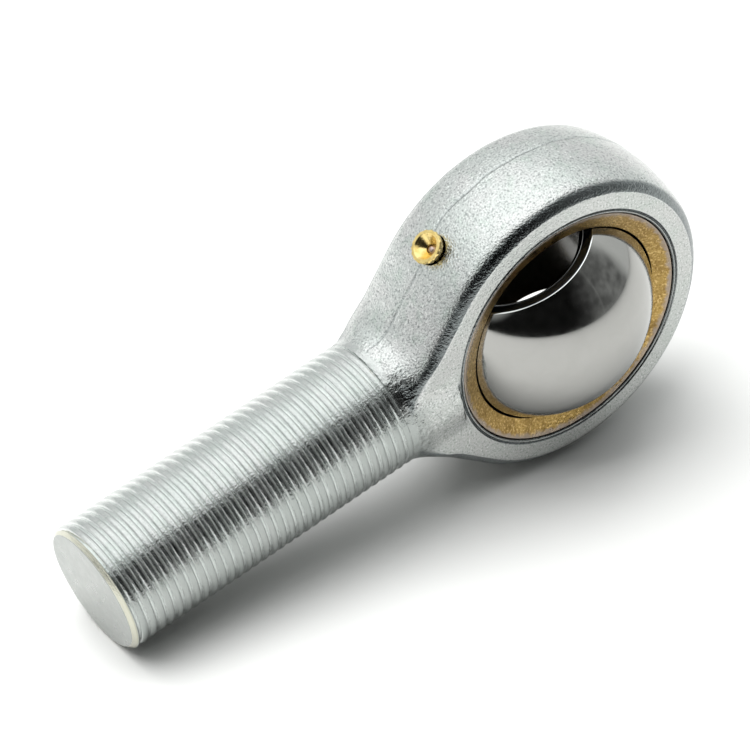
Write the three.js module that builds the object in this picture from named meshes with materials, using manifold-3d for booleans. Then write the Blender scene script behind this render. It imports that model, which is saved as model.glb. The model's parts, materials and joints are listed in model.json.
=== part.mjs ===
// Male rod end bearing, metric size 20: a forged eye on a threaded shank, two brass race halves
// staked into the eye, a bored ball that turns in them, and a funnel grease nipple on the rim.
// Millimetres. The bearing is first built around the ball's centre, with +X along the shank
// towards its free end and +Y along the axis of the eye. Then it is laid down as it lies on a
// bench: standing on its rim and on the free end of its shank, which then points to -X, with the
// floor at z = 0.
import * as THREE from 'three';
import { mergeVertices } from 'three/addons/utils/BufferGeometryUtils.js';
import Module from 'manifold-3d';

const wasm = await Module();
wasm.setup();

// Ball
const BALL_RADIUS = 17.4625;
const BALL_WIDTH = 25;
const BORE_RADIUS = 10;
const BORE_CHAMFER = 0.9;
const BALL_TURN = THREE.MathUtils.degToRad(90); // turned out of line with the eye
const BALL_HEADING = THREE.MathUtils.degToRad(9.2); // from the shank axis to the turning axis

// Eye of the forging
const HEAD_RADIUS = 25;
const HEAD_WIDTH = 18;
const RIM_ROUND_IN = 2.3; // how far the rounded rim edge pulls in at the face
const RIM_ROUND_ALONG = 6.5; // how far it reaches along the axis of the eye
const SEAT_RADIUS = 20;
const LIP_RADIUS = 18.9;
const LIP_DEPTH = 1.4;
const GROOVE_RADIUS = 19.35;
const GROOVE_HALF_WIDTH = 0.25;
const GROOVE_DEPTH = 0.25;
const GROOVE_OVERRUN = 0.2; // how far the groove's cutter stands above the face
const SEAT_OVERRUN = 3; // how far the seat's cutter stands out of the face

// Neck and shank
const SHANK_END = 78;
const THREAD_START = 28;
const THREAD_PITCH = 1.5;
const CREST_RADIUS = 9.88;
const ROOT_RADIUS = 9.04;
const END_CHAMFER = 0.65;
const NECK_RADIUS = 10;
const NECK_FILLET = 7.2;
const NECK_MARGIN = 0.06; // how far the neck's turned corners stand proud of its flats
const NECK_SPREAD = 0.35; // how fast the neck's corners grow away from the shank, per millimetre
const CREST_CLEARANCE = 1; // how far the cutter of the end chamfer reaches past the crests
const FLANK_ANGLE = THREE.MathUtils.degToRad(46); // of the neck's flank to the shank axis

// Brass race halves
const RACE_BALL_GAP = 0.22;
const RACE_SEAT_GAP = 0.25;
const RACE_EDGE = 7.7; // distance from the mid-plane at which the ball surface leaves the race
const RACE_FACE_RADIUS = 18.55;
const RACE_FACE = 8.85;
const RACE_GROOVE_DEPTH = 0.8; // of the bevel that leaves a grease channel between the halves
const GREASE_GAP = 0.5; // half the gap between the two halves

// Grease nipple: distances are from the ball's centre along the nipple's own axis
const NIPPLE_ANGLE = THREE.MathUtils.degToRad(55); // from the shank axis
const NIPPLE_STEM_RADIUS = 2;
const NIPPLE_HOLE_RADIUS = 2.25;
const NIPPLE_HOLE_START = 19;
const NIPPLE_HOLE_LENGTH = 10;
const NIPPLE_HEAD_RADIUS = 2.55;
const NIPPLE_HEAD_BOTTOM = 25.15;
const NIPPLE_HEAD_TOP = 26.45;
const NIPPLE_BEVEL_ALONG = 0.25;
const NIPPLE_BEVEL_IN = 0.2;
const NIPPLE_STEM_END = 20.5;
const NIPPLE_CUP_RADIUS = 2.2;
const NIPPLE_THROAT_RADIUS = 0.62;
const NIPPLE_THROAT = 25.1;
const NIPPLE_THROAT_HALF = 0.1; // half the length of the narrowest part
const NIPPLE_SEAT_DEPTH = 0.65; // of the cone that the check ball closes
const NIPPLE_CHAMBER_RADIUS = 1.2;
const NIPPLE_CHAMBER_END = 21.1;
const CHECK_BALL_RADIUS = 0.75;
const CHECK_BALL_CENTRE = 24.5;
const SPRING_RADIUS = 0.8;
const SPRING_WIRE_RADIUS = 0.12;
const SPRING_TURNS = 5;
const SPRING_CLEARANCE = 0.06;

// Fineness of the round shapes
const EYE_STEPS = 48;
const RIM_STEPS = 54;
const FILLET_STEPS = 6;
const TURN_STEPS = 20;
const SMALL_STEPS = 20;
const RIM_EDGE_STEPS = 4;
const BOWL_STEPS = 7;
const BALL_STEPS = 16;
const CHECK_BALL_STEPS = 10;
const WIRE_CURVE_STEPS = 3;
const SPRING_STEPS = 12; // for each turn
const WELD_TOLERANCE = 1e-5;

const ZINC = { color: 0xb9c0bb, roughness: 0.42, metalness: 0.9 };
const RACE_BRASS = { color: 0xb18a48, roughness: 0.38, metalness: 0.95 };
const HARD_STEEL = { color: 0xa9a7a4, roughness: 0.12, metalness: 1 };
const NIPPLE_BRASS = { color: 0xd0ac4c, roughness: 0.25, metalness: 1 };
const SPRING_STEEL = { color: 0x8f9297, roughness: 0.3, metalness: 1 };

function named(name, geometry, look) {
  const mesh = new THREE.Mesh(geometry, new THREE.MeshStandardMaterial(look));
  mesh.name = name;
  return mesh;
}

function welded(geometry) {
  geometry.deleteAttribute('normal');
  geometry.deleteAttribute('uv');
  return mergeVertices(geometry, WELD_TOLERANCE);
}

function solidOf(geometry) {
  const closed = welded(geometry);
  return new wasm.Manifold(new wasm.Mesh({
    numProp: 3,
    vertProperties: new Float32Array(closed.attributes.position.array),
    triVerts: new Uint32Array(closed.index.array),
  }));
}

function geometryOf(solid) {
  const mesh = solid.getMesh();
  const geometry = new THREE.BufferGeometry();
  geometry.setAttribute('position', new THREE.BufferAttribute(mesh.vertProperties, 3));
  geometry.setIndex(new THREE.BufferAttribute(mesh.triVerts, 1));
  geometry.computeVertexNormals();
  return geometry;
}

// Turns a profile of [radius, distance along the axis] about +Y.
function turnedAboutY(profile, steps) {
  return new THREE.LatheGeometry(profile.map(([r, along]) => new THREE.Vector2(r, along)), steps);
}

// The same about +X, with the distances running along the shank.
function turnedAboutX(profile, steps) {
  return turnedAboutY(profile, steps).rotateZ(-Math.PI / 2).rotateX(Math.PI / 2);
}

function ring(profile) {
  return [...profile, profile[0]];
}

function mirrored(profile) {
  return profile.map(([r, along]) => [r, -along]).reverse();
}

// Points on a sphere's profile, from one distance along the axis to another.
function sphereArc(radius, from, to, steps) {
  const start = Math.asin(from / radius);
  const end = Math.asin(to / radius);
  return Array.from({ length: steps + 1 }, (_, i) => {
    const angle = start + ((end - start) * i) / steps;
    return [radius * Math.cos(angle), radius * Math.sin(angle)];
  });
}

// ---- Forged body -------------------------------------------------------------------------

// The side outline of eye and neck: the rim circle, a straight flank on each side of the neck,
// and a fillet that runs into the shank.
function headOutline() {
  const arc = (x, y, radius, from, to, clockwise, steps) => (
    new THREE.EllipseCurve(x, y, radius, radius, from, to, clockwise).getPoints(steps)
  );
  const right = Math.PI / 2;
  const flankTangent = right - FLANK_ANGLE;
  const filletCentre = NECK_RADIUS + NECK_FILLET;
  return new THREE.Shape([
    ...arc(0, 0, HEAD_RADIUS, flankTangent, 2 * Math.PI - flankTangent, false, RIM_STEPS),
    ...arc(THREAD_START, -filletCentre, NECK_FILLET, right + FLANK_ANGLE, right, true, FILLET_STEPS),
    ...arc(THREAD_START, filletCentre, NECK_FILLET, -right, -right - FLANK_ANGLE, true, FILLET_STEPS),
  ]);
}

function headBlank() {
  const blank = new THREE.ExtrudeGeometry(headOutline(), {
    depth: HEAD_WIDTH - 2 * RIM_ROUND_ALONG,
    bevelThickness: RIM_ROUND_ALONG,
    bevelSize: RIM_ROUND_IN,
    bevelOffset: -RIM_ROUND_IN,
    bevelSegments: RIM_EDGE_STEPS,
  });
  blank.translate(0, 0, RIM_ROUND_ALONG - HEAD_WIDTH / 2);
  return solidOf(blank.rotateX(Math.PI / 2));
}

// A turned envelope that rounds the corners of the neck down to the shank.
function neckEnvelope() {
  const shankRadius = NECK_RADIUS + NECK_MARGIN;
  const farRadius = 2 * HEAD_RADIUS;
  const flare = Array.from({ length: FILLET_STEPS + 1 }, (_, i) => {
    const angle = FLANK_ANGLE * (1 - i / FILLET_STEPS);
    const run = NECK_FILLET * Math.sin(angle);
    const rise = NECK_FILLET * (1 - Math.cos(angle)) + NECK_SPREAD * run;
    return [shankRadius + rise, THREAD_START - run];
  });
  const [flareRadius, flareStart] = flare[0];
  return solidOf(turnedAboutX([
    [0, -farRadius],
    [farRadius, -farRadius],
    [farRadius, flareStart - (farRadius - flareRadius) / (Math.tan(FLANK_ANGLE) + NECK_SPREAD)],
    ...flare,
    [shankRadius, THREAD_START + 1],
    [0, THREAD_START + 1],
  ], EYE_STEPS));
}

// A right-hand helical ridge: one line along the crest, one along the root, wound from inside
// the neck to past the free end, with a fan of triangles closing each end.
function threadBlank() {
  const first = THREAD_START - 2 * THREAD_PITCH;
  const turns = Math.ceil((SHANK_END - first) / THREAD_PITCH) + 1;
  const columns = turns * TURN_STEPS;
  const positions = [];
  const faces = [];
  const place = (column, radius, offset) => {
    const angle = (2 * Math.PI * column) / TURN_STEPS;
    const along = first + THREAD_PITCH * (column / TURN_STEPS + offset);
    positions.push(along, radius * Math.cos(angle), radius * Math.sin(angle));
    return positions.length / 3 - 1;
  };
  const crest = [];
  for (let column = 0; column <= columns + TURN_STEPS; column += 1) {
    crest.push(place(column, CREST_RADIUS, 0));
  }
  const root = [];
  for (let column = 0; column <= columns; column += 1) {
    root.push(place(column, ROOT_RADIUS, 0.5));
  }
  const strip = (a, b, c, d) => faces.push(a, b, c, a, c, d);
  for (let i = 0; i < columns; i += 1) {
    strip(crest[i], crest[i + 1], root[i + 1], root[i]);
    strip(root[i], root[i + 1], crest[i + 1 + TURN_STEPS], crest[i + TURN_STEPS]);
  }
  const startHub = positions.length / 3;
  positions.push(first, 0, 0);
  const endHub = startHub + 1;
  positions.push(first + THREAD_PITCH * (turns + 1), 0, 0);
  for (let i = 0; i < TURN_STEPS; i += 1) {
    faces.push(startHub, crest[i + 1], crest[i]);
    faces.push(endHub, crest[columns + i], crest[columns + i + 1]);
  }
  faces.push(startHub, crest[0], root[0], startHub, root[0], crest[TURN_STEPS]);
  const last = columns + TURN_STEPS;
  faces.push(endHub, root[columns], crest[columns], endHub, crest[last], root[columns]);
  const geometry = new THREE.BufferGeometry();
  geometry.setAttribute('position', new THREE.Float32BufferAttribute(positions, 3));
  geometry.setIndex(faces);
  return solidOf(geometry);
}

function shankEnvelope() {
  const loose = CREST_RADIUS + CREST_CLEARANCE;
  return solidOf(turnedAboutX([
    [0, THREAD_START - 1],
    [loose, THREAD_START - 1],
    [loose, SHANK_END - END_CHAMFER - CREST_CLEARANCE],
    [CREST_RADIUS - END_CHAMFER, SHANK_END],
    [0, SHANK_END],
  ], 2 * TURN_STEPS));
}

// The bored seat of the races, narrowed at each face by the staked lip.
function seatCutter() {
  const face = HEAD_WIDTH / 2;
  const half = [
    [SEAT_RADIUS, face - LIP_DEPTH],
    [LIP_RADIUS, face],
    [LIP_RADIUS, face + SEAT_OVERRUN],
    [0, face + SEAT_OVERRUN],
  ];
  return solidOf(turnedAboutY([...mirrored(half), ...half], EYE_STEPS));
}

// The fine ring that the staking tool leaves around the lip.
function stakingGroove(side) {
  const face = HEAD_WIDTH / 2;
  const ridge = [
    [GROOVE_RADIUS - GROOVE_HALF_WIDTH, face + GROOVE_OVERRUN],
    [GROOVE_RADIUS, face - GROOVE_DEPTH],
    [GROOVE_RADIUS + GROOVE_HALF_WIDTH, face + GROOVE_OVERRUN],
  ];
  const profile = side > 0 ? ridge : mirrored(ridge);
  return solidOf(turnedAboutY(ring(profile), EYE_STEPS));
}

function alongNipple(geometry) {
  return geometry.rotateZ(NIPPLE_ANGLE - Math.PI / 2).rotateX(Math.PI / 2);
}

function nippleHole() {
  const radius = NIPPLE_HOLE_RADIUS;
  const hole = new THREE.CylinderGeometry(radius, radius, NIPPLE_HOLE_LENGTH, SMALL_STEPS);
  hole.translate(0, NIPPLE_HOLE_START + NIPPLE_HOLE_LENGTH / 2, 0);
  return solidOf(alongNipple(hole));
}

function rodEndBody() {
  const eye = headBlank().intersect(neckEnvelope());
  const shank = threadBlank().intersect(shankEnvelope());
  const body = eye.add(shank)
    .subtract(seatCutter())
    .subtract(stakingGroove(1))
    .subtract(stakingGroove(-1))
    .subtract(nippleHole());
  return named('rod_end_body', geometryOf(body), ZINC);
}

// ---- Races and ball ----------------------------------------------------------------------

function raceHalf(name, side) {
  const bowlRadius = BALL_RADIUS + RACE_BALL_GAP;
  const outerRadius = SEAT_RADIUS - RACE_SEAT_GAP;
  const chamfer = (outerRadius - RACE_FACE_RADIUS) * (LIP_DEPTH / (SEAT_RADIUS - LIP_RADIUS));
  const section = [
    ...sphereArc(bowlRadius, RACE_EDGE, GREASE_GAP, BOWL_STEPS),
    [outerRadius - RACE_GROOVE_DEPTH, GREASE_GAP],
    [outerRadius, GREASE_GAP + RACE_GROOVE_DEPTH],
    [outerRadius, RACE_FACE - chamfer],
    [RACE_FACE_RADIUS, RACE_FACE],
  ];
  const profile = side > 0 ? ring(section) : ring(mirrored(section));
  return named(name, welded(turnedAboutY(profile, EYE_STEPS)), RACE_BRASS);
}

function boredBall() {
  const half = BALL_WIDTH / 2;
  const section = [
    ...sphereArc(BALL_RADIUS, -half, half, BALL_STEPS),
    [BORE_RADIUS + BORE_CHAMFER, half],
    [BORE_RADIUS, half - BORE_CHAMFER],
    [BORE_RADIUS, BORE_CHAMFER - half],
    [BORE_RADIUS + BORE_CHAMFER, -half],
  ];
  const ball = named('ball', welded(turnedAboutY(ring(section), EYE_STEPS)), HARD_STEEL);
  const turningAxis = new THREE.Vector3(Math.cos(BALL_HEADING), 0, -Math.sin(BALL_HEADING));
  ball.quaternion.setFromAxisAngle(turningAxis, BALL_TURN);
  return ball;
}

// ---- Grease nipple -----------------------------------------------------------------------

function nippleBody() {
  const throatTop = NIPPLE_THROAT + NIPPLE_THROAT_HALF;
  const throatBottom = NIPPLE_THROAT - NIPPLE_THROAT_HALF;
  const section = [
    [NIPPLE_STEM_RADIUS, NIPPLE_STEM_END],
    [NIPPLE_STEM_RADIUS, NIPPLE_HEAD_BOTTOM],
    [NIPPLE_HEAD_RADIUS, NIPPLE_HEAD_BOTTOM],
    [NIPPLE_HEAD_RADIUS, NIPPLE_HEAD_TOP - NIPPLE_BEVEL_ALONG],
    [NIPPLE_HEAD_RADIUS - NIPPLE_BEVEL_IN, NIPPLE_HEAD_TOP],
    [NIPPLE_CUP_RADIUS, NIPPLE_HEAD_TOP],
    [NIPPLE_THROAT_RADIUS, throatTop],
    [NIPPLE_THROAT_RADIUS, throatBottom],
    [NIPPLE_CHAMBER_RADIUS, throatBottom - NIPPLE_SEAT_DEPTH],
    [NIPPLE_CHAMBER_RADIUS, NIPPLE_CHAMBER_END],
    [NIPPLE_THROAT_RADIUS, NIPPLE_CHAMBER_END],
    [NIPPLE_THROAT_RADIUS, NIPPLE_STEM_END],
  ];
  return named('nipple_body', welded(turnedAboutY(ring(section), SMALL_STEPS)), NIPPLE_BRASS);
}

function nippleCheckBall() {
  const geometry = new THREE.SphereGeometry(CHECK_BALL_RADIUS, SMALL_STEPS, CHECK_BALL_STEPS);
  const ball = named('nipple_check_ball', welded(geometry), HARD_STEEL);
  ball.position.y = CHECK_BALL_CENTRE;
  return ball;
}

class Helix extends THREE.Curve {
  constructor(radius, from, to, turns) {
    super();
    Object.assign(this, { radius, from, to, turns });
  }

  getPoint(t, target = new THREE.Vector3()) {
    const angle = 2 * Math.PI * this.turns * t;
    return target.set(
      this.radius * Math.cos(angle),
      this.from + (this.to - this.from) * t,
      this.radius * Math.sin(angle),
    );
  }
}

function nippleSpring() {
  const from = NIPPLE_CHAMBER_END + SPRING_WIRE_RADIUS + SPRING_CLEARANCE;
  const to = CHECK_BALL_CENTRE - CHECK_BALL_RADIUS - SPRING_WIRE_RADIUS - SPRING_CLEARANCE;
  const wire = new THREE.Shape();
  wire.absarc(0, 0, SPRING_WIRE_RADIUS, 0, 2 * Math.PI, false);
  const geometry = new THREE.ExtrudeGeometry(wire, {
    extrudePath: new Helix(SPRING_RADIUS, from, to, SPRING_TURNS),
    steps: SPRING_TURNS * SPRING_STEPS,
    curveSegments: WIRE_CURVE_STEPS,
    bevelEnabled: false,
  });
  return named('nipple_spring', welded(geometry), SPRING_STEEL);
}

function greaseNipple() {
  const nipple = new THREE.Group();
  nipple.rotation.set(Math.PI / 2, 0, NIPPLE_ANGLE - Math.PI / 2, 'XZY');
  nipple.add(nippleBody(), nippleCheckBall(), nippleSpring());
  return nipple;
}

// ---- Assembly ----------------------------------------------------------------------------

const bearing = new THREE.Group();
bearing.add(
  rodEndBody(),
  raceHalf('race_front_half', 1),
  raceHalf('race_rear_half', -1),
  boredBall(),
  greaseNipple(),
);

// The lean of the shank that lets its last full crest touch the floor that the rim stands on.
const lastCrest = SHANK_END - END_CHAMFER;
bearing.rotation.y = Math.asin(HEAD_RADIUS / Math.hypot(lastCrest, CREST_RADIUS))
  - Math.atan2(CREST_RADIUS, lastCrest);

// The shank points to -X, and the origin is under the middle of the whole, on the floor.
const part = new THREE.Group();
part.rotation.z = Math.PI;
part.add(bearing);
part.updateMatrixWorld(true);
const extent = new THREE.Box3().setFromObject(part, true);
const middle = extent.getCenter(new THREE.Vector3());
part.position.set(-middle.x, -middle.y, -extent.min.z);
part.updateMatrixWorld(true);

export default part;
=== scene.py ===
import itertools
import json
import math

import bmesh
import bpy
import numpy as np
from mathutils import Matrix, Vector


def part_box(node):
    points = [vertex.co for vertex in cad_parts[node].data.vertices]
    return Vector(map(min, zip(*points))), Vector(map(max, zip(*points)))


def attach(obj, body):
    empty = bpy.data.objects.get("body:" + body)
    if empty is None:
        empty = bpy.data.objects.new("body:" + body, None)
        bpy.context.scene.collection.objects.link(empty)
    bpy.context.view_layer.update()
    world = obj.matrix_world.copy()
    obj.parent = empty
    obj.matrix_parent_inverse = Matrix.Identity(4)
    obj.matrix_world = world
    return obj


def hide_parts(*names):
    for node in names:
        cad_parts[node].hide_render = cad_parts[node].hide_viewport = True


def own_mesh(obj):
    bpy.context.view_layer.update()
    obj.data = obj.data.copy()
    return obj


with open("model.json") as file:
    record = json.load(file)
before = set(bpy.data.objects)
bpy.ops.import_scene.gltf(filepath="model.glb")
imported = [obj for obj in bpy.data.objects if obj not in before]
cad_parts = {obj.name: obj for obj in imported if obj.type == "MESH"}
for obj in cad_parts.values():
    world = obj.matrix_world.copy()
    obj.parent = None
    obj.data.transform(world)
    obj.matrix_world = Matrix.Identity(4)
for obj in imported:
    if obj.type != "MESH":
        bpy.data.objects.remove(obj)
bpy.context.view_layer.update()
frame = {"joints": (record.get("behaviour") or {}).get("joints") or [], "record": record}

MM = 0.001

# ---- Where the bearing lies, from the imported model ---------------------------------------

mount_axis = {mount["name"]: np.array(mount["axis"]) for mount in frame["record"]["mounts"]}
joint_axis = {joint["name"]: np.array(joint["axis"]) for joint in frame["joints"]}
SHANK = mount_axis["shank_end_face"]
EYE = mount_axis["head_face_front"]
RISE = np.cross(SHANK, EYE)
BORE = np.cross(joint_axis["ball_turn"], EYE)
NIPPLE = -joint_axis["check_ball_press"]
ball_low, ball_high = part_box("ball")
CENTRE = np.array((ball_low + ball_high) / 2)

# ---- Sizes in millimetres ----------------------------------------------------------------

BALL_RADIUS = 17.45
BALL_HALF_WIDTH = 12.5
BORE_RADIUS = 10.0
BORE_CHAMFER = 0.9
BALL_EDGE_ROUND = 0.4

HEAD_RADIUS = 24.93
FACE = 9.0  # from the mid-plane to the flat faces of the eye
CROWN = 1.5  # how far the rim falls away from its middle to the faces
CORNER = 2.4
FACE_CUT = 0.25  # how much of the rounded corner the flat face cuts off
SEAT_RADIUS = 20.0
LIP_RADIUS = 18.86  # the lip is staked over the race's edge
LIP_DEPTH = 1.4
LIP_EDGE = 0.16
GROOVE_RADIUS = 19.35  # a groove left by the staking tool
GROOVE_HALF_WIDTH = 0.22
GROOVE_DEPTH = 0.3

SHANK_END = 78.0
THREAD_START = 28.0
THREAD_PITCH = 1.5
CREST_RADIUS = 9.87
ROOT_RADIUS = 9.25
END_CHAMFER = 0.8
NECK_RADIUS = 10.0
NECK_FILLET = 7.2
NECK_SPREAD = 0.35
FLANK = math.radians(46)

LUMPS = [(0.035, 2.6, 3), (0.016, 1.1, 4)]  # height, size and seed of the forging's unevenness
FACE_LUMPS = 0.25  # the pressed faces are that much as uneven as the rim
PARTING_STEP = 0.035
PARTING_WIDTH = 0.3
PARTING_SHIFT = 2.0  # how far the trimmed parting line strays from the mid-plane over the rim
PARTING_FROM = 0.75  # the angle off the shank where it begins to stray
PARTING_FADE = 0.45

RACE_BOWL_RADIUS = 17.62
RACE_OUTER_RADIUS = 19.75
RACE_EDGE = 7.7
RACE_FACE_RADIUS = 18.62
RACE_FACE = 8.85
RACE_DISH = 0.07
RACE_BACK_CHAMFER = 0.8
GREASE_GAP = 0.5

NIPPLE_STEM_RADIUS = 2.0
NIPPLE_HOLE_RADIUS = 2.25
NIPPLE_HOLE_CHAMFER = 0.6
NIPPLE_HEAD_RADIUS = 2.55
NIPPLE_HEAD_BOTTOM = 25.15
NIPPLE_HEAD_TOP = 26.45
NIPPLE_DRAFT = 0.35  # how much narrower the head is at its bottom
NIPPLE_RIM_RADIUS = 1.95
NIPPLE_MOUTH_RADIUS = 1.78
NIPPLE_STEM_END = 20.5
NIPPLE_THROAT_RADIUS = 0.62
NIPPLE_THROAT = 25.1
NIPPLE_CHAMBER_RADIUS = 1.2
NIPPLE_CHAMBER_TAPER = 0.75
NIPPLE_CHAMBER_END = 21.1
SCALLOPS = 17
SCALLOP_DEPTH = 0.13
CHECK_BALL_RADIUS = 0.75
CHECK_BALL_CENTRE = 24.5
SPRING_RADIUS = 0.8
WIRE_RADIUS = 0.12
SPRING_BOTTOM = 21.28
SPRING_TOP = 23.57
SPRING_TURNS = 5

# How finely the pieces are meshed.
HEAD_CELL = 0.36
THREAD_COLUMNS = 84  # to one turn of the thread
ROUND_STEPS = 192  # round the eye and the shank
BALL_STEPS = 224
NIPPLE_STEPS = 136
CHECK_BALL_STEPS = 48
HOLE_STEPS = 64
PAST = 2  # how far a cutting shape reaches past the surface that it cuts

# ---- Meshes ------------------------------------------------------------------------------


def placed(points):
    """Points of the bearing's own axes, in millimetres, as points of the row frame in metres."""
    return np.asarray(points) @ np.array([SHANK, EYE, RISE]) * MM + CENTRE


def solid(name, points, faces):
    """A closed mesh object from points in the row frame, its faces turned outwards."""
    mesh = bpy.data.meshes.new(name)
    mesh.from_pydata(np.asarray(points).tolist(), [], [list(map(int, face)) for face in faces])
    shape = bmesh.new()
    shape.from_mesh(mesh)
    bmesh.ops.remove_doubles(shape, verts=shape.verts, dist=1e-7)
    bmesh.ops.recalc_face_normals(shape, faces=shape.faces)
    if shape.calc_volume(signed=True) < 0:
        bmesh.ops.reverse_faces(shape, faces=shape.faces)
    shape.to_mesh(mesh)
    shape.free()
    piece = bpy.data.objects.new(name, mesh)
    bpy.context.scene.collection.objects.link(piece)
    return piece


def joined(target, other, operation):
    """Joins another solid to the target, or cuts the target with it, and uses the other up."""
    step = target.modifiers.new("step", "BOOLEAN")
    step.object = other
    step.operation = operation
    step.solver = "MANIFOLD"
    graph = bpy.context.evaluated_depsgraph_get()
    mesh = bpy.data.meshes.new_from_object(target.evaluated_get(graph))
    target.modifiers.clear()
    target.data = mesh
    bpy.data.objects.remove(other)
    return target


def shaded(piece):
    """Smooth shading, with sharp edges left crisp."""
    piece.data.shade_smooth()
    piece.data.set_sharp_from_angle(angle=math.radians(32))
    return piece


def rounded(profile, radius):
    """The closed profile with each of its corners rounded."""
    points = np.asarray(profile, float)
    nearly_straight = math.radians(80)
    arc_steps = 4
    result = []
    for before, corner, after in zip(np.roll(points, 1, 0), points, np.roll(points, -1, 0)):
        back, ahead = before - corner, after - corner
        reach_back, reach_ahead = np.linalg.norm(back), np.linalg.norm(ahead)
        back, ahead = back / reach_back, ahead / reach_ahead
        half = math.acos(np.clip(back @ ahead, -1, 1)) / 2
        if half > nearly_straight:
            result.append(corner)
            continue
        cut = min(radius / math.tan(half), 0.4 * reach_back, 0.4 * reach_ahead)
        start, end = corner + back * cut, corner + ahead * cut
        result.append(start + 0.2 * cut * back)  # so that smooth shading leaves the flats flat
        for t in np.linspace(0, 1, arc_steps + 1):
            result.append((1 - t) ** 2 * start + 2 * t * (1 - t) * corner + t**2 * end)
        result.append(end + 0.2 * cut * ahead)
    return result


def turned(name, profile, axis, steps, ripple=None):
    """A closed profile of (radius, height) turned about an axis through the ball's centre."""
    axis = axis / np.linalg.norm(axis)
    side = np.cross(axis, EYE if abs(axis @ EYE) < 0.9 else SHANK)
    side /= np.linalg.norm(side)
    other = np.cross(axis, side)
    radius, along = np.array(profile, float).T
    angle = 2 * math.pi * np.arange(steps)[:, None] / steps
    if ripple:
        radius = ripple(radius[None, :], along[None, :], angle)
    else:
        radius = np.broadcast_to(radius, (steps, len(along)))
    points = (
        along[None, :, None] * axis
        + (radius * np.cos(angle))[..., None] * side
        + (radius * np.sin(angle))[..., None] * other
    )
    count = len(along)
    faces = []
    for i, j in itertools.product(range(steps), range(count)):
        here, right = i * count, (i + 1) % steps * count
        up = (j + 1) % count
        faces.append((here + j, right + j, right + up, here + up))
    return solid(name, points.reshape(-1, 3) * MM + CENTRE, faces)


def sphere_arc(radius, start, end, steps):
    """Profile points on a sphere, from one distance along the axis to another."""
    angles = np.linspace(math.asin(start / radius), math.asin(end / radius), steps + 1)
    return [(radius * math.cos(a), radius * math.sin(a)) for a in angles]


# ---- Noise for the forging ---------------------------------------------------------------


def lumps(points, size, seed):
    """Smooth noise from -1 to 1, with bumps about one size apart."""
    table = np.random.default_rng(seed).uniform(-1, 1, (32, 32, 32))
    base = np.floor(points / size).astype(int)
    part = points / size - base
    part = part * part * (3 - 2 * part)
    total = np.zeros(len(points))
    for corner in itertools.product((0, 1), repeat=3):
        weight = np.prod(np.where(corner, part, 1 - part), axis=1)
        total += weight * table[tuple(((base + corner) % 32).T)]
    return total


# ---- Forged head and neck, as a distance field -------------------------------------------


def soft_max(a, b, reach):
    """The larger of two fields, with a fillet where they cross."""
    share = np.clip(0.5 + 0.5 * (a - b) / reach, 0, 1)
    return b + (a - b) * share + reach * share * (1 - share)


def soft_min(a, b, reach):
    return -soft_max(-a, -b, reach)


def outline_distance(x, z):
    """How far a point of the mid-plane lies outside the outline of eye, flanks and neck."""
    z = np.abs(z)
    normal = np.array([math.sin(FLANK), math.cos(FLANK)])
    along = np.array([math.cos(FLANK), -math.sin(FLANK)])
    fillet_z = NECK_RADIUS + NECK_FILLET
    fillet_x = (HEAD_RADIUS + NECK_FILLET - normal[1] * fillet_z) / normal[0]
    travel = x * along[0] + z * along[1]
    flank_end = fillet_x * along[0] + fillet_z * along[1]
    return np.select(
        [travel < 0, travel < flank_end, x < fillet_x],
        [
            np.hypot(x, z) - HEAD_RADIUS,
            x * normal[0] + z * normal[1] - HEAD_RADIUS,
            NECK_FILLET - np.hypot(x - fillet_x, z - fillet_z),
        ],
        z - NECK_RADIUS,
    )


def neck_radius(x):
    """The turned envelope that rounds the neck's corners down to the shank."""
    run = np.maximum(THREAD_START - x, 0)
    bend = NECK_FILLET * math.sin(FLANK)
    curved = NECK_FILLET - np.sqrt(NECK_FILLET**2 - np.minimum(run, bend) ** 2)
    straight = np.maximum(run - bend, 0) * math.tan(FLANK)
    return NECK_RADIUS + curved + straight + NECK_SPREAD * run


def forging(points):
    """Negative inside the forged head and neck, positive outside, about a distance near the skin."""
    x, y, z = points.T
    rim = outline_distance(x, z) + CROWN * (y / FACE) ** 2
    face = np.abs(y) - FACE
    blank = face - FACE_CUT
    corner = np.hypot(np.maximum(rim + CORNER, 0), np.maximum(blank + CORNER, 0))
    corner += np.minimum(np.maximum(rim, blank) + CORNER, 0) - CORNER
    eye = np.maximum(corner, face)
    slender = (np.hypot(y, z) - neck_radius(x)) * math.cos(FLANK)
    neck_blend, neck_end, neck_end_blend = 1.0, 0.2, 1.5
    neck = soft_max(eye, slender, neck_blend)
    neck = soft_max(neck, x - THREAD_START - neck_end, neck_end_blend)
    core_inset, core_back, core_ahead, core_blend = 0.05, 8, 1.2, 0.9
    core = np.hypot(y, z) - CREST_RADIUS + core_inset
    core = np.maximum(core, (THREAD_START - core_back) - x)
    core = np.maximum(core, x - THREAD_START - core_ahead)
    return soft_min(neck, core, core_blend)


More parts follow.
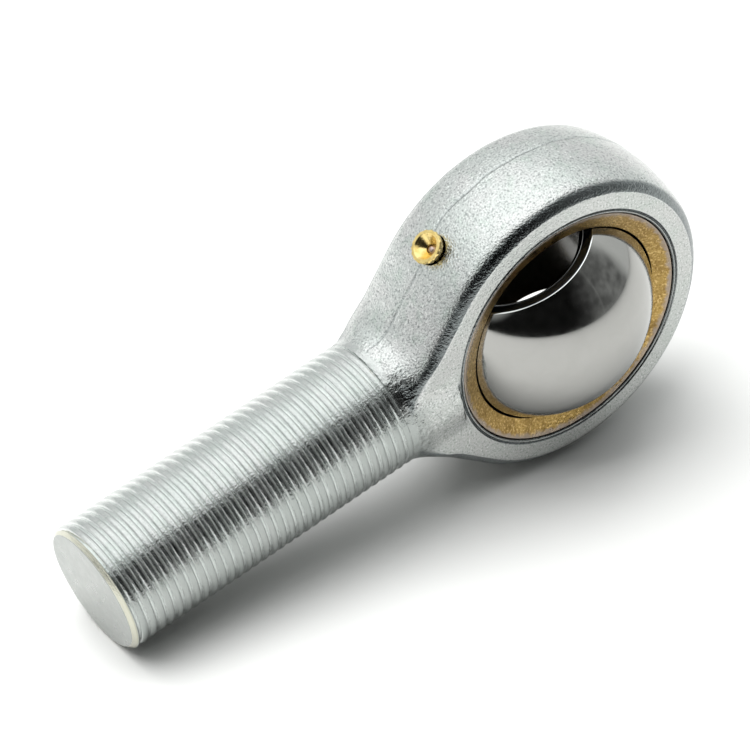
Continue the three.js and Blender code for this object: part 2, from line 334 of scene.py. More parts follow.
def surface_net(field, low, high, cell):
    """A closed quad mesh of the field's zero surface, with each point moved onto it."""
    axes = [np.arange(a, b + cell, cell) for a, b in zip(low, high)]
    grid = np.stack(np.meshgrid(*axes, indexing="ij"), -1)
    value = field(grid.reshape(-1, 3)).reshape(grid.shape[:3])
    inside = value < 0
    shape = tuple(n - 1 for n in value.shape)
    corners = list(itertools.product((0, 1), repeat=3))

    def shifted(array, corner):
        return array[tuple(slice(c, c + n) for c, n in zip(corner, shape))]

    filled = sum(shifted(inside, c).astype(int) for c in corners)
    cells = np.argwhere((filled > 0) & (filled < 8))
    total = np.zeros((len(cells), 3))
    hits = np.zeros(len(cells))
    for first, second in itertools.combinations(corners, 2):
        if sum(a != b for a, b in zip(first, second)) != 1:
            continue
        start = value[tuple((cells + first).T)]
        end = value[tuple((cells + second).T)]
        cross = (start < 0) != (end < 0)
        t = np.where(cross, start / np.where(cross, start - end, 1), 0)
        spot = np.array(first) + t[:, None] * (np.array(second) - np.array(first))
        total += np.where(cross[:, None], spot, 0)
        hits += cross
    points = np.array(low) + (cells + total / hits[:, None]) * cell

    number = np.full(shape, -1)
    number[tuple(cells.T)] = np.arange(len(cells))
    faces = []
    for axis in range(3):
        step = np.eye(3, dtype=int)[axis]
        u, v = np.eye(3, dtype=int)[[(axis + 1) % 3, (axis + 2) % 3]]
        ahead = tuple(slice(s, None) for s in step)
        behind = tuple(slice(None, -1) if s else slice(None) for s in step)
        edges = np.argwhere(inside[ahead] != inside[behind])
        quad = [number[tuple((edges - shift).T)] for shift in (0 * u, u, u + v, v)]
        faces.append(np.stack(quad, axis=1))
    return settled(points, field), np.concatenate(faces)


def slopes(points, field):
    """The field's gradient by small differences."""
    step = 0.02
    offsets = step * np.eye(3)
    return np.stack([field(points + o) - field(points - o) for o in offsets], 1) / (2 * step)


def settled(points, field):
    """The points moved onto the field's zero surface, in a few rounds."""
    for _ in range(4):
        slope = slopes(points, field)
        size = np.maximum((slope**2).sum(1), 0.05)  # no long jumps where the field is flat
        points = points - (field(points) / size)[:, None] * slope
    return points


def forged_head():
    """The blank of head and neck, with the gentle lumps and the trimmed parting line of a forging."""
    low = (-25.6, -10.5, -25.6)  # a little past the blank on every side
    high = (THREAD_START + 2.2, 10.6, 25.8)
    points, faces = surface_net(forging, low, high, HEAD_CELL)
    normal = slopes(points, forging)
    normal /= np.linalg.norm(normal, axis=1)[:, None]
    x, y, z = points.T
    fade = 2.0
    on_rim = np.clip((FACE - 0.4 - np.abs(y)) / fade, 0, 1)
    keep = np.clip((THREAD_START - 0.5 - x) / fade, 0, 1)
    lump = sum(height * lumps(points, size, seed) for height, size, seed in LUMPS)
    turn = np.clip((np.arctan2(np.abs(z), x) - PARTING_FROM) / PARTING_FADE, 0, 1)
    seam = -PARTING_SHIFT * turn * turn * (3 - 2 * turn)
    wander = 0.2 * lumps(points, 6.0, 5)
    parting = PARTING_STEP * np.tanh((y - seam + wander) / PARTING_WIDTH)
    move = on_rim * (lump - parting) + (1 - on_rim) * FACE_LUMPS * lump
    move = keep * move - 0.03 * on_rim  # sinks the rim a little, so that no lump stands proud
    return solid("rod_end_fine", placed(points + move[:, None] * normal), faces)


# ---- Thread ------------------------------------------------------------------------------


def threaded_shank():
    """A right-hand thread with wide rolled crests, running out in the neck, chamfered at its end."""
    # Half of the thread's form: pitches from the middle of the crest, and height from 0 at the root.
    half = [
        (0.5, 0.0),
        (0.47, 0.05),
        (0.43, 0.26),
        (0.39, 0.5),
        (0.345, 0.68),
        (0.29, 0.81),
        (0.2, 0.925),
        (0.1, 0.985),
    ]
    form = [(-place, height) for place, height in half] + [(0.0, 1.0)]
    form += [(place, height) for place, height in reversed(half[1:])]
    offsets, heights = np.array(form).T
    rows, columns = len(offsets), THREAD_COLUMNS
    first = THREAD_START - 3 * THREAD_PITCH
    turns = math.ceil((SHANK_END - first) / THREAD_PITCH) + 2
    column = np.arange(columns * turns + 1)[:, None]
    angle = 2 * math.pi * column / columns
    x = first + THREAD_PITCH * (column / columns + offsets[None, :])
    runout, shallowest = 2.5, 0.12
    share = np.clip((x - THREAD_START + 1.0) / runout, shallowest, 1)
    depth = (CREST_RADIUS - ROOT_RADIUS) * share
    radius = CREST_RADIUS - depth * (1 - heights[None, :])
    points = np.stack([x, radius * np.cos(angle), radius * np.sin(angle)], -1).reshape(-1, 3)

    def at(i, j):
        return i * rows + j if j < rows else (i + columns) * rows

    last = columns * turns
    faces = []
    for j in range(rows):
        for i in range(last if j < rows - 1 else last - columns):
            faces.append((at(i, j), at(i + 1, j), at(i + 1, j + 1), at(i, j + 1)))
    hubs = len(points), len(points) + 1
    points = np.vstack([points, (first - 1, 0, 0), (x[-1, -1] + 1, 0, 0)])
    start = [at(i, 0) for i in range(columns + 1)] + [at(0, j) for j in range(rows - 1, 0, -1)]
    end = [at(i, rows - 1) for i in range(last - columns, last + 1)]
    end += [at(last, j) for j in range(rows - 2, -1, -1)]
    for hub, loop in zip(hubs, (start, end)):
        faces += [(hub, a, b) for a, b in zip(loop, loop[1:] + loop[:1])]
    thread = solid("thread", placed(points), faces)

    loose = CREST_RADIUS + PAST
    inner = THREAD_START - 1.4
    beyond = -5.0  # across the axis, so that the corners there can be dropped
    envelope = rounded([
        (beyond, SHANK_END),
        (CREST_RADIUS - END_CHAMFER, SHANK_END),
        (loose, SHANK_END - END_CHAMFER - (loose - CREST_RADIUS)),
        (loose, inner + 1.0),
        (loose - 1.0, inner),
        (beyond, inner),
    ], 0.1)
    envelope = [(0, SHANK_END)] + [point for point in envelope if point[0] > 0] + [(0, inner)]
    return joined(thread, turned("envelope", envelope, SHANK, ROUND_STEPS), "INTERSECT")


# ---- Body --------------------------------------------------------------------------------


def rod_end():
    """Head and shank, cut for the races, the staking groove on each face and the nipple."""
    body = joined(forged_head(), threaded_shank(), "UNION")
    half = [
        (SEAT_RADIUS, FACE - LIP_DEPTH),
        (LIP_RADIUS, FACE - LIP_EDGE),
        (LIP_RADIUS + 0.05, FACE - 0.06),
        (LIP_RADIUS + LIP_EDGE, FACE),
        (LIP_RADIUS + 0.3, FACE + PAST),
    ]
    seat = [(0, -FACE - PAST)] + [(r, -y) for r, y in reversed(half)] + half
    seat += [(0, FACE + PAST)]
    body = joined(body, turned("seat", seat, EYE, ROUND_STEPS), "DIFFERENCE")
    for side in (1, -1):
        groove = [
            (GROOVE_RADIUS - 2 * GROOVE_HALF_WIDTH, side * (FACE + GROOVE_DEPTH)),
            (GROOVE_RADIUS, side * (FACE - GROOVE_DEPTH)),
            (GROOVE_RADIUS + 2 * GROOVE_HALF_WIDTH, side * (FACE + GROOVE_DEPTH)),
        ]
        cutter = turned("groove", rounded(groove, 0.08), EYE, ROUND_STEPS)
        body = joined(body, cutter, "DIFFERENCE")
    mouth = HEAD_RADIUS + 0.35
    hole = [
        (0, SEAT_RADIUS - PAST),
        (NIPPLE_HOLE_RADIUS, SEAT_RADIUS - PAST),
        (NIPPLE_HOLE_RADIUS, HEAD_RADIUS - 0.25),
        (NIPPLE_HOLE_RADIUS + NIPPLE_HOLE_CHAMFER, mouth),
        (0, mouth),
    ]
    return shaded(joined(body, turned("hole", hole, NIPPLE, HOLE_STEPS), "DIFFERENCE"))


def race_half(name, side):
    """The race on one side of the eye: a spherical bowl with a slightly dished face."""
    chamfer = RACE_OUTER_RADIUS - RACE_FACE_RADIUS
    edge_radius = math.sqrt(RACE_BOWL_RADIUS**2 - RACE_EDGE**2)
    middle = ((edge_radius + RACE_FACE_RADIUS) / 2, (RACE_EDGE + RACE_FACE) / 2 - RACE_DISH)
    corners = [
        (RACE_OUTER_RADIUS - RACE_BACK_CHAMFER, GREASE_GAP),
        (RACE_OUTER_RADIUS, GREASE_GAP + RACE_BACK_CHAMFER),
        (RACE_OUTER_RADIUS, RACE_FACE - chamfer),
        (RACE_FACE_RADIUS, RACE_FACE),
        middle,
    ]
    bowl = sphere_arc(RACE_BOWL_RADIUS, RACE_EDGE, GREASE_GAP, 24)
    profile = rounded(bowl + corners, 0.1)
    return shaded(turned(name, [(r, side * y) for r, y in profile], EYE, ROUND_STEPS))


def bored_ball():
    """The ball with its flats and its chamfered bore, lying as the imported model's ball does."""
    bore = [
        (BORE_RADIUS + BORE_CHAMFER, BALL_HALF_WIDTH),
        (BORE_RADIUS, BALL_HALF_WIDTH - BORE_CHAMFER),
        (BORE_RADIUS, BORE_CHAMFER - BALL_HALF_WIDTH),
        (BORE_RADIUS + BORE_CHAMFER, -BALL_HALF_WIDTH),
    ]
    sphere = sphere_arc(BALL_RADIUS, -BALL_HALF_WIDTH, BALL_HALF_WIDTH, 72)
    profile = rounded(sphere + bore, BALL_EDGE_ROUND)
    return shaded(turned("ball_fine", profile, BORE, BALL_STEPS))


# ---- Grease nipple -----------------------------------------------------------------------


def scalloped(radius, along, angle):
    """Shallow uneven scallops round the outer rim of the nipple's head."""
    uneven = 0.7 + 0.3 * np.sin(3 * angle + 1)
    wave = np.abs(np.sin(SCALLOPS / 2 * angle)) ** 1.5 * uneven
    rim = np.clip((radius - 2.1) / 0.35, 0, 1) * (along > NIPPLE_HEAD_BOTTOM - 0.05)
    return radius - SCALLOP_DEPTH * rim * wave


def nipple():
    """The nipple's stem and flanged head, with its funnel, throat and spring chamber."""
    top = NIPPLE_HEAD_TOP
    profile = rounded([
        (NIPPLE_STEM_RADIUS, NIPPLE_STEM_END),
        (NIPPLE_STEM_RADIUS, NIPPLE_HEAD_BOTTOM),
        (NIPPLE_HEAD_RADIUS - NIPPLE_DRAFT, NIPPLE_HEAD_BOTTOM),
        (NIPPLE_HEAD_RADIUS, top - 0.35),
        (NIPPLE_HEAD_RADIUS - 0.1, top - 0.05),
        (NIPPLE_RIM_RADIUS, top),
        (NIPPLE_MOUTH_RADIUS, top - 0.14),
        (NIPPLE_THROAT_RADIUS, NIPPLE_THROAT + 0.1),
        (NIPPLE_THROAT_RADIUS, NIPPLE_THROAT - 0.1),
        (NIPPLE_CHAMBER_RADIUS, NIPPLE_THROAT - NIPPLE_CHAMBER_TAPER),
        (NIPPLE_CHAMBER_RADIUS, NIPPLE_CHAMBER_END),
        (NIPPLE_THROAT_RADIUS, NIPPLE_CHAMBER_END),
        (NIPPLE_THROAT_RADIUS, NIPPLE_STEM_END),
    ], 0.06)
    return shaded(turned("nipple_fine", profile, NIPPLE, NIPPLE_STEPS, scalloped))


def check_ball():
    arc = sphere_arc(CHECK_BALL_RADIUS, -CHECK_BALL_RADIUS, CHECK_BALL_RADIUS, 24)
    profile = [(max(r, 0), a + CHECK_BALL_CENTRE) for r, a in arc]
    return shaded(turned("check_ball_fine", profile, NIPPLE, CHECK_BALL_STEPS))


def spring():
    """Round wire wound about the nipple's axis, its ends closed flat."""
    steps, sides = SPRING_TURNS * 32, 12  # along the wire and round it
    side = EYE
    other = np.cross(NIPPLE, side)
    t = np.linspace(0, 1, steps + 1)
    angle = 2 * math.pi * SPRING_TURNS * t
    out = np.cos(angle)[:, None] * side + np.sin(angle)[:, None] * other
    middle = SPRING_RADIUS * out
    middle = middle + (SPRING_BOTTOM + (SPRING_TOP - SPRING_BOTTOM) * t)[:, None] * NIPPLE
    points = []
    for k in range(sides):
        turn = 2 * math.pi * k / sides
        points.append(middle + WIRE_RADIUS * (math.cos(turn) * out + math.sin(turn) * NIPPLE))
    points = np.stack(points, 1).reshape(-1, 3)
    faces = []
    for i, k in itertools.product(range(steps), range(sides)):
        here, ahead, up = i * sides, (i + 1) * sides, (k + 1) % sides
        faces.append((here + k, ahead + k, ahead + up, here + up))
    faces.append(range(sides))
    faces.append(range(steps * sides, (steps + 1) * sides))
    return shaded(solid("spring_fine", points * MM + CENTRE, faces))


# ---- Materials ---------------------------------------------------------------------------


# Linear colours.
ZINC, ZINC_CLOUD = (0.59, 0.615, 0.60), (0.635, 0.635, 0.63)
ZINC_GREENISH = (0.50, 0.57, 0.52)
ZINC_FACE = (0.43, 0.445, 0.42)
ZINC_THREAD = (0.47, 0.495, 0.485)
ZINC_SPECK, ZINC_GLINT = (0.16, 0.18, 0.18), (0.86, 0.88, 0.86)
ZINC_SEAM = (0.35, 0.38, 0.38)
# Painted shade under the thread, and painted light in its valleys.
ZINC_SHADE_BELOW, ZINC_VALLEY_LIGHT = (0.30, 0.325, 0.31), (0.90, 0.92, 0.91)
# The staked ring's tint, and painted shade for its groove and lip.
ZINC_STAKED, ZINC_GROOVE_SHADE = (0.27, 0.265, 0.255), (0.08, 0.085, 0.08)
# Painted dark reflection for the rounded corner between rim and face.
ZINC_CORNER_DARK_REFLECTION = (0.12, 0.14, 0.145)
ZINC_CHAMFER, ZINC_END = (0.50, 0.48, 0.36), (0.37, 0.385, 0.37)
RACE, RACE_TARNISH = (0.385, 0.255, 0.082), (0.295, 0.188, 0.059)
RACE_PIT, RACE_GLINT = (0.20, 0.12, 0.035), (0.72, 0.51, 0.22)
RACE_SMEAR = (0.36, 0.305, 0.265)
# Painted shade for the race's bowl in the gap about the ball.
RACE_BOWL_SHADE = (0.035, 0.028, 0.018)
BALL, BALL_HAZE = (0.415, 0.412, 0.397), (0.366, 0.363, 0.347)
# Painted highlight for the ball's edge, painted dark reflection for its flat faces, painted shade in
# its bore.
BALL_EDGE_HIGHLIGHT, BALL_FACE_DARK_REFLECTION, BALL_BORE_SHADE = (0.95, 0.95, 0.93), (0.085, 0.098, 0.125), (0.13, 0.128, 0.122)
# The last of these is painted shade under the nipple's flange.
BRASS, BRASS_DARK, BRASS_SHADE_BELOW = (0.90, 0.70, 0.30), (0.72, 0.53, 0.19), (0.16, 0.11, 0.04)
# Warm tints: a painted reflection of the brass round the check ball.
CHECK_BALL_BRASS_REFLECTION, CHECK_BALL_BRASS_REFLECTION_HAZE = (0.52, 0.41, 0.37), (0.44, 0.33, 0.30)
WIRE, WIRE_DARK = (0.56, 0.57, 0.60), (0.42, 0.43, 0.46)
PAPER, PAPER_CLOUD = (0.54, 0.54, 0.533), (0.52, 0.52, 0.513)


class Finish:
    """A node material, built by calls that each add one node and return its output.

    The tint is laid on in coats: each call of paint covers part of the surface with a colour.
    """

    def __init__(self, name, metallic=1.0):
        self.material = bpy.data.materials.new(name)
        self.material.use_nodes = True
        self.tree = self.material.node_tree
        self.shader = self.tree.nodes["Principled BSDF"]
        self.shader.inputs["Metallic"].default_value = metallic
        self.position = self.add("ShaderNodeTexCoord").outputs["Object"]
        self.tint = None

    def add(self, kind, inputs=(), **settings):
        node = self.tree.nodes.new(kind)
        for key, value in settings.items():
            setattr(node, key, value)
        for key, value in dict(inputs).items():
            self.set(node.inputs[key], value)
        return node

    def set(self, socket, value):
        if isinstance(value, bpy.types.NodeSocket):
            self.tree.links.new(value, socket)
        else:
            socket.default_value = value

    def math(self, operation, *values):
        return self.add("ShaderNodeMath", enumerate(values), operation=operation).outputs[0]

    def plus(self, first, second):
        return self.math("ADD", first, second)

    def both(self, first, *others):
        """The product of masks and shares."""
        for other in others:
            first = self.math("MULTIPLY", first, other)
        return first

    def unless(self, mask):
        return self.ramp(mask, 1, 0)

    def vector(self, operation, *values):
        node = self.add("ShaderNodeVectorMath", enumerate(values), operation=operation)
        single = operation in ("DOT_PRODUCT", "LENGTH")
        return node.outputs["Value" if single else "Vector"]

    def ramp(self, value, low, high, start=0.0, end=1.0):
        """A smooth step from start, where the value is low, to end, where it is high."""
        inputs = {"Value": value, "From Min": low, "From Max": high, "To Min": start, "To Max": end}
        node = self.add("ShaderNodeMapRange", inputs, interpolation_type="SMOOTHSTEP")
        return node.outputs["Result"]

    def noise(self, size, detail=2.0, roughness=0.5, at=None, distortion=0.0):
        """Noise with features about one size across, in millimetres."""
        inputs = {
            "Vector": at or self.position,
            "Scale": 1 / (size * MM),
            "Detail": detail,
            "Roughness": roughness,
            "Distortion": distortion,
        }
        return self.add("ShaderNodeTexNoise", inputs).outputs["Fac"]

    def lined(self, across, fine, along=0.0, slow=0.0, detail=3.0, roughness=0.7):
        """Noise drawn out into lines, as a tool leaves them: fine across, slow along them."""
        place = self.add("ShaderNodeCombineXYZ", {
            0: self.both(across, fine),
            1: self.both(along, slow),
        })
        return self.noise(1.0, detail, roughness, place.outputs[0])

    def mixed(self, share, first, second):
        factor, a, b = 0, 6, 7  # the Mix node's colour sockets share their names with others
        node = self.add("ShaderNodeMix", data_type="RGBA")
        self.set(node.inputs[factor], share)
        self.set(node.inputs[a], self.color(first))
        self.set(node.inputs[b], self.color(second))
        return node.outputs[2]

    @staticmethod
    def color(value):
        return value if isinstance(value, bpy.types.NodeSocket) else (*value, 1.0)

    def paint(self, mask, color, share=1.0):
        """One coat: the colour over the tint so far, where the mask is, as thick as the share."""
        if share != 1.0:
            mask = self.both(mask, share)
        self.tint = self.mixed(mask, self.tint, color)

    def bump(self, height, distance, under=None):
        """A normal bent by a height, whose full scale is a distance in millimetres."""
        inputs = {"Height": height, "Distance": distance * MM, "Strength": 1.0}
        if under:
            inputs["Normal"] = under
        return self.add("ShaderNodeBump", inputs).outputs["Normal"]

    def along(self, axis):
        """Distance from the ball's centre along an axis, in millimetres."""
        reach = self.vector("DOT_PRODUCT", self.position, tuple(axis / MM))
        return self.math("SUBTRACT", reach, float(CENTRE @ axis) / MM)

    def local(self):
        """The place seen from the ball's centre, in metres."""
        return self.vector("SUBTRACT", self.position, tuple(CENTRE))

    def off_axis(self, axis):
        """Distance from an axis through the ball's centre, in millimetres."""
        beside = self.vector("CROSS_PRODUCT", self.local(), tuple(axis / MM))
        return self.vector("LENGTH", beside)

    def finish(self, roughness, normal=None):
        self.set(self.shader.inputs["Base Color"], self.tint)
        self.set(self.shader.inputs["Roughness"], roughness)
        if normal:
            self.set(self.shader.inputs["Normal"], normal)
        return self.material


def zinc():
    """Blasted forging and rolled thread under bright zinc plating."""
    f = Finish("zinc_plated_forging")

    # Where on the body a point lies.
    shank = f.along(SHANK)
    y = f.along(EYE)
    rise = f.along(RISE)
    radius = f.off_axis(EYE)
    rolled = f.ramp(shank, THREAD_START - 0.6, THREAD_START + 0.8)
    end = f.ramp(shank, SHANK_END - 0.12, SHANK_END - 0.05)
    forged, not_end = f.unless(rolled), f.unless(end)
    threaded = f.both(rolled, not_end)
    junction = f.both(f.ramp(shank, 25.0, 27.0), f.ramp(shank, 29.5, 28.2))
    normal = f.add("ShaderNodeNewGeometry").outputs["Normal"]
    facing = f.math("ABSOLUTE", f.vector("DOT_PRODUCT", normal, tuple(EYE)))

    # Blasted grain, rougher where the forging meets the thread, and rolling marks on the thread.
    grain = f.noise(0.30, 2.0, 0.55)
    coarse = f.noise(0.9, 2.0, 0.5)
    lines = f.lined(shank, 0.0055, f.math("ARCTAN2", y, rise), 0.0012, 2.0, 0.6)
    height = f.both(grain, f.ramp(rolled, 0, 1, 1.0, 0.4))
    uneven = f.both(f.ramp(junction, 0, 1, 0.5, 2.2), f.ramp(rolled, 0, 1, 1.0, 0.5))
    height = f.plus(height, f.both(coarse, uneven))
    height = f.plus(height, f.both(lines, f.both(threaded, 0.75)))
    surface = f.bump(height, 0.1)

    # The trimmed parting line, faint and broken.
    turn = f.math("ARCTAN2", f.math("ABSOLUTE", rise), shank)
    stray = f.ramp(turn, PARTING_FROM, PARTING_FROM + PARTING_FADE, 0.0, PARTING_SHIFT)
    wander = f.ramp(f.noise(5.0), 0, 1, -0.3, 0.3)
    across = f.math("ABSOLUTE", f.plus(f.plus(y, stray), wander))
    seam = f.both(f.ramp(across, 0.34, 0.02), forged, f.ramp(f.noise(7.0, 1.0), 0.3, 0.5))
    surface = f.bump(seam, -0.09, surface)

    # Plating: pale, with clouds, a duller flat face and thread, and specks and glints in the grain.
    clouds = f.ramp(f.noise(6.0, 2.0), 0.35, 0.65)
    f.tint = f.mixed(clouds, ZINC, ZINC_CLOUD)
    f.paint(f.ramp(f.noise(2.2, 3.0, 0.6), 0.5, 0.72, 0.0, 0.5), ZINC_GREENISH)
    f.paint(f.both(f.ramp(facing, 0.96, 0.99), forged), ZINC_FACE, 0.5)
    f.paint(threaded, ZINC_THREAD, 0.4)
    rough = f.both(f.ramp(rolled, 1, 0, 0.2, 1.0), not_end)
    f.paint(f.both(f.ramp(grain, 0.49, 0.30, 0.0, 0.65), rough), ZINC_SPECK)
    f.paint(f.both(f.ramp(grain, 0.56, 0.72, 0.0, 0.7), rough), ZINC_GLINT)
    f.paint(seam, ZINC_SEAM, 0.4)

    # The thread's underside gets painted shade, and its valleys get painted light.
    shade_below = f.both(f.ramp(rise, 5.2, 3.4), f.ramp(shank, THREAD_START - 4, THREAD_START), not_end)
    f.paint(shade_below, ZINC_SHADE_BELOW, 0.7)
    # Painted light: the valleys between the flanks are lightened where their shade would fall.
    lit_valley = f.ramp(f.off_axis(SHANK), CREST_RADIUS - 0.12, CREST_RADIUS - 0.3)
    f.paint(f.both(lit_valley, rolled, not_end), ZINC_VALLEY_LIGHT, 0.7)

    # The staked ring round the race, with painted shade in its groove and at its lip.
    groove = f.ramp(f.math("ABSOLUTE", f.math("SUBTRACT", radius, GROOVE_RADIUS)), 0.26, 0.1)
    lip_gap_shade = f.ramp(radius, LIP_RADIUS + 0.2, LIP_RADIUS + 0.08)
    staked = f.ramp(radius, GROOVE_RADIUS - 0.05, GROOVE_RADIUS - 0.2, 0.0, 0.6)
    f.paint(staked, ZINC_STAKED)
    f.paint(f.math("MAXIMUM", groove, lip_gap_shade), ZINC_GROOVE_SHADE, 0.7)

    # The rounded corner between rim and face darkened as a painted dark reflection, the yellowish
    # chamfer and the shank's end.
    corner = f.both(f.ramp(facing, 0.965, 0.91), f.ramp(facing, 0.5, 0.68), forged)
    f.paint(corner, ZINC_CORNER_DARK_REFLECTION, 0.8)
    chamfer_start = SHANK_END - END_CHAMFER
    chamfer = f.both(f.ramp(shank, chamfer_start, chamfer_start + 0.15), not_end)
    f.paint(chamfer, ZINC_CHAMFER, 0.7)
    f.paint(end, ZINC_END, 0.85)

    gloss = f.ramp(f.noise(1.6, 2.0), 0.3, 0.7, 0.17, 0.26)
    gloss = f.both(gloss, f.ramp(corner, 0, 1, 1.0, 0.7))
    return f.finish(f.plus(gloss, f.both(end, 0.1)), surface)


def race_brass():
    """Turned brass, pitted and a little tarnished, with plating smeared over its outer edge and
    painted shade in its bowl.
    """
    f = Finish("race_brass")
    radius = f.off_axis(EYE)
    rings = f.lined(radius, 0.009, f.along(SHANK), 0.00004)
    pits = f.noise(0.35, 3.0, 0.6)
    tarnish = f.ramp(f.noise(2.4, 3.0, 0.6), 0.35, 0.68)
    f.tint = f.mixed(tarnish, RACE, RACE_TARNISH)
    f.paint(f.ramp(pits, 0.47, 0.32, 0, 0.8), RACE_PIT)
    f.paint(f.ramp(pits, 0.52, 0.66, 0, 0.75), RACE_GLINT)
    smeared = f.plus(radius, f.ramp(f.noise(0.9, 3.0, 0.6), 0.2, 0.8, -0.35, 0.35))
    f.paint(f.ramp(smeared, 17.75, 18.5, 0.0, 0.85), RACE_SMEAR)
    # Painted shade: the bowl, in the narrow gap about the ball, is painted nearly black.
    distance = f.vector("LENGTH", f.local())
    bowl = f.ramp(distance, (RACE_BOWL_RADIUS + 0.1) * MM, (RACE_BOWL_RADIUS + 0.02) * MM)
    f.paint(bowl, RACE_BOWL_SHADE)
    gloss = f.plus(f.ramp(tarnish, 0, 1, 0.26, 0.4), f.both(bowl, 0.25))
    return f.finish(gloss, f.bump(rings, 0.02, f.bump(pits, 0.05)))


def ball_steel():
    """Ground and polished steel with a faint haze; turned end faces and a honed bore, with a painted
    highlight on the edges, a painted dark reflection on the faces and painted shade in the bore.
    """
    f = Finish("polished_ball_steel")
    radius = f.off_axis(BORE)
    along = f.along(BORE)
    beside = f.along(EYE)
    reach = f.math("ABSOLUTE", along)
    face = f.ramp(reach, BALL_HALF_WIDTH - 0.04, BALL_HALF_WIDTH - 0.01)
    edge_highlight = f.ramp(reach, BALL_HALF_WIDTH - 0.16, BALL_HALF_WIDTH - 0.1)
    mouth = BORE_RADIUS + BORE_CHAMFER
    inside = f.ramp(radius, mouth + 0.02, mouth - 0.08)
    bore = f.ramp(radius, BORE_RADIUS + 0.3, BORE_RADIUS + 0.1)

    haze = f.noise(3.0, 4.0, 0.65, distortion=0.6)
    f.tint = f.mixed(haze, BALL, BALL_HAZE)
    # Painted light and shade: a highlight on the rounded edge, a dark reflection on the flat faces,
    # shade inside the bore.
    f.paint(f.both(edge_highlight, f.unless(face)), BALL_EDGE_HIGHLIGHT)
    f.paint(face, BALL_FACE_DARK_REFLECTION)
    f.paint(inside, BALL_BORE_SHADE)

    turned_lines = f.lined(radius, 0.012, beside, 0.00005)
    honed = f.lined(along, 0.006, beside, 0.00004)
    height = f.plus(f.both(turned_lines, face), f.both(honed, bore))
    normal = f.bump(height, 0.012, f.bump(f.noise(0.12, 2.0, 0.5), 0.0006))
    gloss = f.ramp(haze, 0.3, 0.7, 0.06, 0.11)
    gloss = f.plus(gloss, f.both(f.math("MAXIMUM", face, bore), 0.14))
    return f.finish(gloss, normal)


def nipple_brass():
    """Bright turned brass, with painted shade on the side below the nipple's flange."""
    f = Finish("nipple_brass")
    radius = f.off_axis(NIPPLE)
    rings = f.lined(radius, 0.012, detail=2.0, roughness=0.6)
    patch = f.noise(0.9, 3.0, 0.6)
    f.tint = f.mixed(f.ramp(patch, 0.35, 0.7), BRASS, BRASS_DARK)
    # Painted shade on the side below the flange.
    flange_shade = f.ramp(f.along(NIPPLE), NIPPLE_HEAD_TOP - 0.2, NIPPLE_HEAD_TOP - 0.6)
    f.paint(f.both(f.ramp(radius, 2.2, 2.4), flange_shade), BRASS_SHADE_BELOW, 0.6)
    normal = f.bump(rings, 0.015, f.bump(patch, 0.03))
    return f.finish(f.ramp(patch, 0.3, 0.7, 0.14, 0.26), normal)


def check_ball_steel():
    """Small polished ball, tinted warm as a painted reflection of the brass about it."""
    f = Finish("check_ball_steel")
    haze = f.noise(0.4, 3.0)
    f.tint = f.mixed(haze, CHECK_BALL_BRASS_REFLECTION, CHECK_BALL_BRASS_REFLECTION_HAZE)
    return f.finish(f.ramp(haze, 0.3, 0.7, 0.1, 0.2), f.bump(f.noise(0.1), 0.0015))


def spring_steel():
    """Drawn wire, a little uneven."""
    f = Finish("spring_steel")
    drawn = f.noise(0.2, 3.0, 0.7)
    f.tint = f.mixed(drawn, WIRE, WIRE_DARK)
    return f.finish(f.ramp(drawn, 0.3, 0.7, 0.22, 0.4), f.bump(drawn, 0.008))


# ---- Pieces on their bodies --------------------------------------------------------------

PIECES = [
    (rod_end(), "rod_end", "rod_end_body", "zinc_plated_forging", zinc()),
    (race_half("race_front_fine", 1), "rod_end", "race_front_half", "race_brass", race_brass()),
    (race_half("race_rear_fine", -1), "rod_end", "race_rear_half", "race_brass", race_brass()),
    (bored_ball(), "ball", "ball", "polished_ball_steel", ball_steel()),
    (nipple(), "rod_end", "nipple_body", "nipple_brass", nipple_brass()),
    (check_ball(), "check_ball", "nipple_check_ball", "check_ball_steel", check_ball_steel()),
    (spring(), "rod_end", "nipple_spring", "spring_steel", spring_steel()),
]
for piece, body, node, slot, material in PIECES:
    piece.data.materials.clear()
    piece.data.materials.append(material)
    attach(piece, body)
    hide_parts(node)

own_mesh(PIECES[-1][0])

# ---- Floor, light and camera -------------------------------------------------------------

CAMERA_TARGET = (4.276, 7.368, 16.329)
CAMERA_ELEVATION = math.radians(40.42)
CAMERA_HEADING = math.radians(36.5)
CAMERA_DISTANCE = 715.2
CAMERA_LENS = 240
CAMERA_SENSOR = 36

KEY_PLACE = (-0.29, 0.31, 1.06)
KEY_TARGET = (0, 0, 0.02)
KEY_SIZE = 1.2
KEY_POWER = 31


def floor():
    """Plain pale paper."""
    size = 3.0
    corners = [(-size, -size, 0), (size, -size, 0), (size, size, 0), (-size, size, 0)]
    mesh = bpy.data.meshes.new("floor")
    mesh.from_pydata(corners, [], [(0, 1, 2, 3)])
    plane = bpy.data.objects.new("floor", mesh)
    bpy.context.scene.collection.objects.link(plane)
    f = Finish("floor_paper", metallic=0.0)
    f.tint = f.mixed(f.noise(40.0, 2.0), PAPER, PAPER_CLOUD)
    plane.data.materials.append(f.finish(0.85))


def key_light():
    """A large square lamp, high up behind the bearing, which no gloss reflects."""
    data = bpy.data.lights.new("key", "AREA")
    data.shape = "RECTANGLE"
    data.size = data.size_y = KEY_SIZE
    data.energy = KEY_POWER
    lamp = bpy.data.objects.new("key", data)
    bpy.context.scene.collection.objects.link(lamp)
    lamp.location = KEY_PLACE
    aim = Vector(KEY_TARGET) - Vector(KEY_PLACE)
    lamp.rotation_euler = aim.to_track_quat("-Z", "Y").to_euler()
    lamp.visible_glossy = False


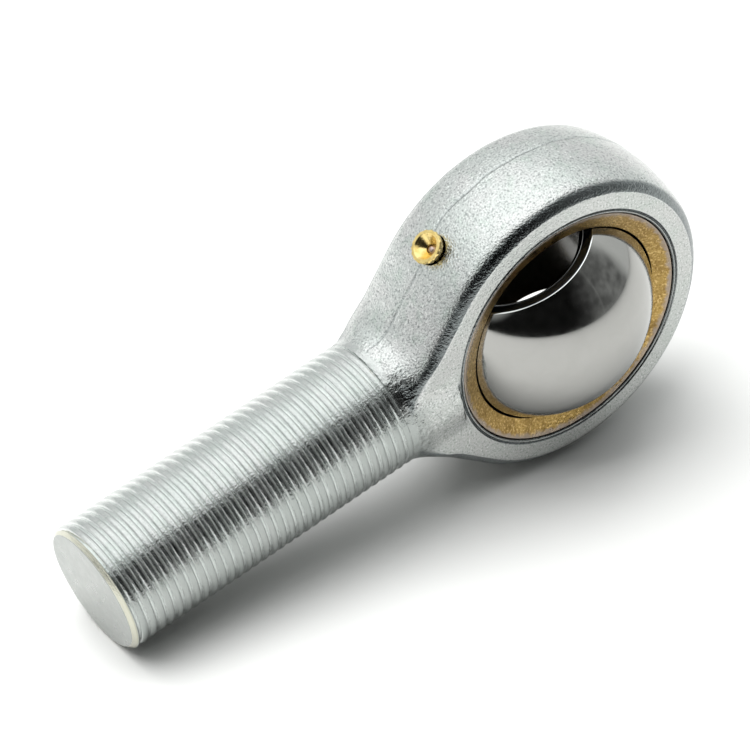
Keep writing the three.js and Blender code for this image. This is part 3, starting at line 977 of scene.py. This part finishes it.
def studio_world():
    """A bright room, dark on the side that the front face looks to, before a pale backdrop."""
    world = bpy.data.worlds.new("studio")
    world.use_nodes = True
    bpy.context.scene.world = world
    tree = world.node_tree
    tree.nodes.clear()

    def add(kind, inputs=(), **settings):
        node = tree.nodes.new(kind)
        for key, value in settings.items():
            setattr(node, key, value)
        for key, value in dict(inputs).items():
            if isinstance(value, bpy.types.NodeSocket):
                tree.links.new(value, node.inputs[key])
            else:
                node.inputs[key].default_value = value
        return node

    def calc(operation, *values):
        return add("ShaderNodeMath", enumerate(values), operation=operation).outputs[0]

    def unless(mask):
        return calc("SUBTRACT", 1.0, mask)

    def fade(value, low, high, start=0.0, end=1.0):
        keys = ("Value", "From Min", "From Max", "To Min", "To Max")
        inputs = dict(zip(keys, (value, low, high, start, end)))
        return add("ShaderNodeMapRange", inputs, interpolation_type="SMOOTHSTEP").outputs[0]

    def toward(x, y, z):
        node = add("ShaderNodeVectorMath", {0: view, 1: (x, y, z)}, operation="DOT_PRODUCT")
        return node.outputs["Value"]

    # The room's bright parts, and the dark part in front of the bearing.
    view = add("ShaderNodeTexCoord").outputs["Generated"]
    overhead = fade(toward(0, 0.15, 1), 0.70, 0.84)
    high_left = fade(toward(-0.8, 0, 0.6), 0.82, 0.95)
    dark = fade(toward(-0.35, -0.94, 0), -0.15, 0.12)
    dark = calc("MULTIPLY", dark, unless(overhead))
    dark = calc("MULTIPLY", dark, unless(high_left))
    wall = fade(toward(0, 0, 1), 0.0, 0.9, 0.86, 1.0)
    room = calc("ADD", wall, calc("MULTIPLY", overhead, 0.6))
    lit = calc("MULTIPLY", room, unless(dark))

    # In the dark part, clouds that pale towards the right, and the thin line of a lamp's stand.
    noise = {"Vector": view, "Scale": 7.0, "Detail": 3.0}
    cloud = fade(add("ShaderNodeTexNoise", noise).outputs["Fac"], 0.3, 0.7, 0.55, 1.25)
    murk = calc("MULTIPLY", cloud, fade(toward(1, 0, 0), 0.0, 0.8, 0.012, 0.30))
    stand = fade(calc("ABSOLUTE", toward(0.842, 0.539, 0)), 0.016, 0.004, 0.0, 0.16)
    grey = calc("MULTIPLY", calc("ADD", murk, stand), dark)

    strength = calc("ADD", lit, grey)
    studio = add("ShaderNodeBackground", {"Color": (0.97, 1.0, 0.99, 1), "Strength": strength})
    backdrop = add("ShaderNodeBackground", {"Color": (0.93, 0.93, 0.93, 1), "Strength": 1.0})
    seen = add("ShaderNodeLightPath").outputs["Is Camera Ray"]
    mix = add("ShaderNodeMixShader", {0: seen, 1: studio.outputs[0], 2: backdrop.outputs[0]})
    add("ShaderNodeOutputWorld", {"Surface": mix.outputs[0]})


def camera():
    """The photograph's long lens, looking down at the bearing from the front left."""
    forward = Vector((
        math.sin(CAMERA_HEADING) * math.cos(CAMERA_ELEVATION),
        math.cos(CAMERA_HEADING) * math.cos(CAMERA_ELEVATION),
        -math.sin(CAMERA_ELEVATION),
    ))
    data = bpy.data.cameras.new("camera")
    data.sensor_width = CAMERA_SENSOR
    data.lens = CAMERA_LENS
    data.clip_start = 0.01
    eye = bpy.data.objects.new("camera", data)
    bpy.context.scene.collection.objects.link(eye)
    eye.location = Vector(CAMERA_TARGET) * MM - forward * CAMERA_DISTANCE * MM
    eye.rotation_euler = forward.to_track_quat("-Z", "Y").to_euler()
    bpy.context.scene.camera = eye


floor()
studio_world()
key_light()
camera()
bpy.context.scene.view_settings.view_transform = "Standard"
